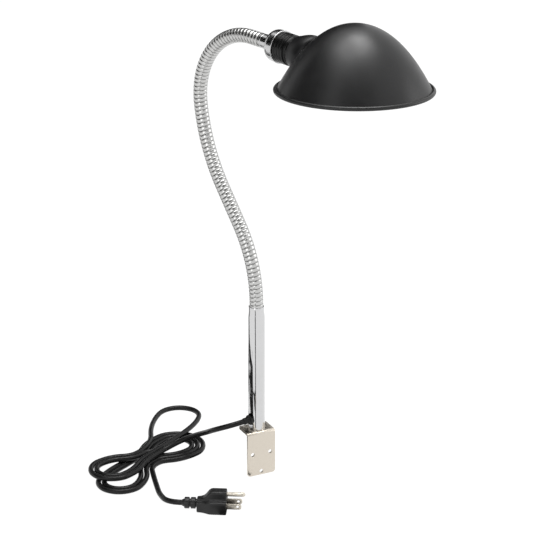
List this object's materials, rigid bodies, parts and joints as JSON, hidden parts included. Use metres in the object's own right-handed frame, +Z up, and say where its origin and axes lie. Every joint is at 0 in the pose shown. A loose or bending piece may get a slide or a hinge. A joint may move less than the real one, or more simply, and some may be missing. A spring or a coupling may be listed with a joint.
{
  "type": "gooseneck task light",
  "caption": "Plate mounted task light: a short chrome tube and a ribbed flexible neck hold a black dome shade on a side entry socket, with a hanked cord and plug.",
  "frame": {"origin": "on the mounting plate's outer face, midway between its two upper screw holes", "axes": "+X along the plate's width, +Y from the plate's outer face towards its flange, +Z up the tube"},
  "size_m": [0.31, 0.4018, 0.5427],
  "materials": {
    "plate_nickel": "satin nickel plated steel, warm beige, bright at the bend",
    "stem_chrome": "polished chrome plated tube",
    "neck_chrome": "chrome plated wound steel hose, dark grooves",
    "cap_chrome": "polished chrome plated spun cap",
    "zinc_steel": "zinc plated steel hardware",
    "brass_parts": "plain brass",
    "shell_aluminium": "rolled thin aluminium",
    "socket_black": "glossy black moulded phenolic",
    "insulator_cream": "cream moulded insulator",
    "shade_black": "satin black enamel, white enamel reflector inside",
    "bulb_glass": "frosted glass",
    "mount_glass": "clear glass stem",
    "black_vinyl": "black moulded nylon",
    "cord_jacket": "soft black vinyl jacket with a slight sheen",
    "plug_vinyl": "moulded black vinyl, satin",
    "blade_nickel": "nickel plated brass, warm grey",
    "lead_wrap": "wrapped inner wires"
  },
  "bodies": {
    "stem": {"mounting_bracket": "plate_nickel", "stem_tube": "stem_chrome", "stem_plug": "zinc_steel", "lock_washer": "zinc_steel", "lock_nut": "zinc_steel", "cord_bushing": "black_vinyl", "neck_root": "neck_chrome", "neck_bend_1": "neck_chrome", "lead_in_stem": "lead_wrap", "lead_root": "lead_wrap", "lead_bend_1": "lead_wrap", "cord_feed": "cord_jacket", "cord_hank": "cord_jacket", "cord_to_plug": "cord_jacket", "plug_strain_relief": "plug_vinyl", "plug_body": "plug_vinyl", "plug_blades": "blade_nickel", "plug_ground_pin": "blade_nickel"},
    "neck_low": {"neck_link_1": "neck_chrome", "neck_bend_2": "neck_chrome", "lead_link_1": "lead_wrap", "lead_bend_2": "lead_wrap"},
    "neck_mid": {"neck_link_2": "neck_chrome", "neck_bend_3": "neck_chrome", "lead_link_2": "lead_wrap", "lead_bend_3": "lead_wrap"},
    "neck_high": {"neck_link_3": "neck_chrome", "neck_bend_4": "neck_chrome", "lead_link_3": "lead_wrap", "lead_bend_4": "lead_wrap"},
    "neck_crown": {"neck_link_4": "neck_chrome", "neck_bend_5": "neck_chrome", "lead_link_4": "lead_wrap", "lead_bend_5": "lead_wrap"},
    "head": {"neck_tip": "neck_chrome", "lead_tip": "lead_wrap", "neck_end_sleeve": "stem_chrome", "neck_nipple": "zinc_steel", "nipple_nut": "brass_parts", "socket_cap": "cap_chrome", "socket_body": "socket_black", "socket_insulator": "insulator_cream", "screw_shell": "shell_aluminium", "centre_contact": "brass_parts", "terminal_screws": "brass_parts", "bulb_cap": "shell_aluminium", "bulb_contact": "brass_parts", "bulb_glass": "bulb_glass", "filament_mount": "mount_glass", "shade_ring": "socket_black"},
    "shade": {"shade": "shade_black", "shade_collar": "shade_black"}
  },
  "joints": [
    {"name": "neck_root_sway", "type": "hinge", "parent": "stem", "child": "neck_low", "pos_m": [-0.00062, 0.0146, 0.20491], "axis": [0.309, -0.9511, 0], "range_deg": [-15, 15], "deforming": ["neck_bend_1", "lead_bend_1"]},
    {"name": "neck_low_bend", "type": "hinge", "parent": "neck_low", "child": "neck_mid", "pos_m": [-0.00801, 0.03734, 0.26522], "axis": [0.9511, 0.309, 0], "range_deg": [-15, 12], "deforming": ["neck_bend_2", "lead_bend_2"]},
    {"name": "neck_mid_bend", "type": "hinge", "parent": "neck_mid", "child": "neck_high", "pos_m": [-0.02322, 0.08417, 0.3443], "axis": [0.9511, 0.309, 0], "range_deg": [-20, 15], "deforming": ["neck_bend_3", "lead_bend_3"]},
    {"name": "neck_high_bend", "type": "hinge", "parent": "neck_high", "child": "neck_crown", "pos_m": [-0.02604, 0.09285, 0.43062], "axis": [0.9511, 0.309, 0], "range_deg": [-25, 20], "deforming": ["neck_bend_4", "lead_bend_4"]},
    {"name": "neck_tip_sway", "type": "hinge", "parent": "neck_crown", "child": "head", "pos_m": [-0.00813, 0.03772, 0.47957], "axis": [-0.056, 0.1725, 0.9834], "range_deg": [-20, 20], "deforming": ["neck_bend_5", "lead_bend_5"]},
    {"name": "shade_turn", "type": "hinge", "parent": "head", "child": "shade", "pos_m": [0.01923, -0.04647, 0.47472], "axis": [0.3079, -0.9476, -0.0854], "range_deg": [-45, 45]}
  ]
}
